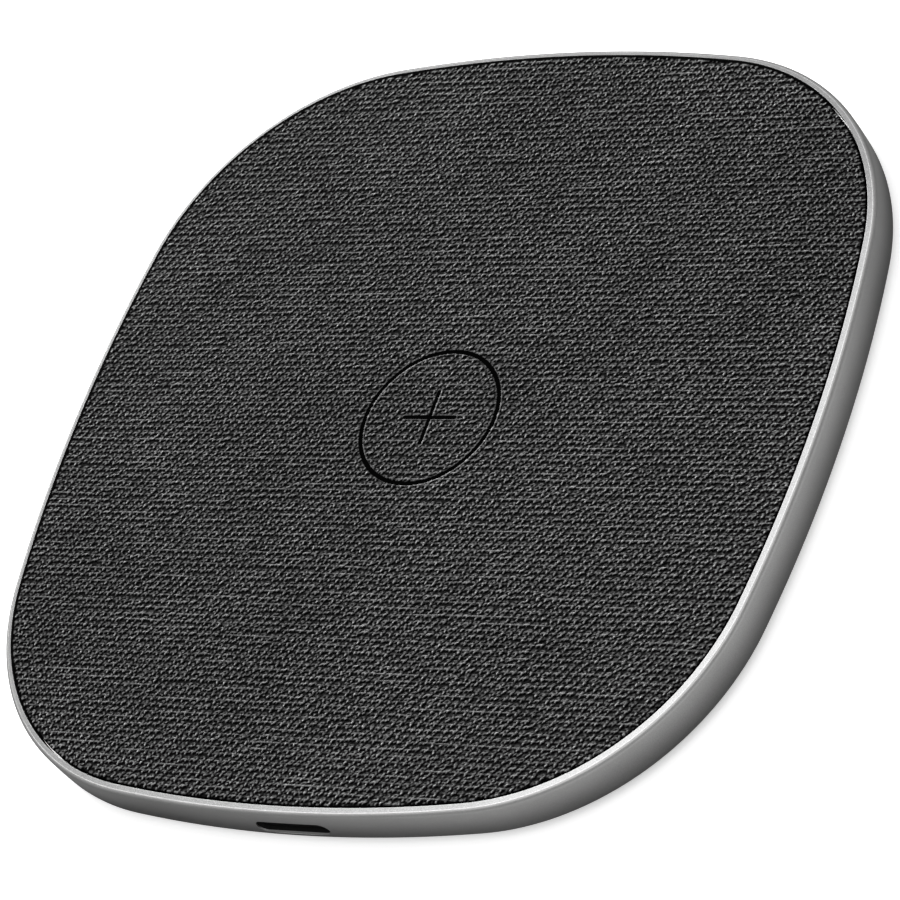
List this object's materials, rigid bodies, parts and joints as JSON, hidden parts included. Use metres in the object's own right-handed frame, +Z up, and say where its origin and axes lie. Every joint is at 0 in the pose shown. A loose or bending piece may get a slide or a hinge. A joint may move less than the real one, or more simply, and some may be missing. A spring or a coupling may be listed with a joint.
{
  "type": "wireless charging pad",
  "caption": "Slim rounded-square charging pad: metal frame with a bright bevel, knitted fabric top with an embossed centring ring, and a cable port in one side.",
  "frame": {"origin": "on the table under the pad's centre", "axes": "+Z up through the charging surface, -Y towards the cable port, +X along the port's side"},
  "size_m": [0.096, 0.096, 0.006],
  "materials": {
    "frame_metal": "bead-blasted and anodised, with a diamond-cut bevel",
    "fabric": "dark grey knit",
    "black_plastic": "fine matt texture",
    "silicone": "matt",
    "adhesive": "double-sided tape",
    "copper": "enamelled stranded wire",
    "ferrite": "smooth matt",
    "foam": "open-cell foam",
    "circuit_board": "solder mask",
    "chip": "moulded epoxy",
    "inductor": "pressed powder",
    "capacitor": "fired ceramic",
    "sensor": "glass bead on copper legs",
    "steel": "plated"
  },
  "bodies": {
    "root": {"frame": "frame_metal", "top_fabric": "fabric", "top_plate": "black_plastic", "top_plate_tape": "adhesive", "bottom_cover": "black_plastic", "foot_ring": "silicone", "charging_coil": "copper", "coil_tape": "adhesive", "ferrite_sheet": "ferrite", "foam_pad": "foam", "main_board": "circuit_board", "controller_chip": "chip", "mosfet_1": "chip", "mosfet_2": "chip", "power_inductor": "inductor", "resonant_capacitor_1": "capacitor", "resonant_capacitor_2": "capacitor", "resonant_capacitor_3": "capacitor", "resonant_capacitor_4": "capacitor", "input_capacitor_1": "capacitor", "input_capacitor_2": "capacitor", "crystal": "steel", "thermistor": "sensor", "port_bezel": "black_plastic", "usb_c_shell": "steel", "usb_c_tongue": "black_plastic", "cover_screw_1": "steel", "cover_screw_2": "steel", "cover_screw_3": "steel", "cover_screw_4": "steel", "board_screw_1": "steel", "board_screw_2": "steel", "board_screw_3": "steel"}
  },
  "joints": []
}
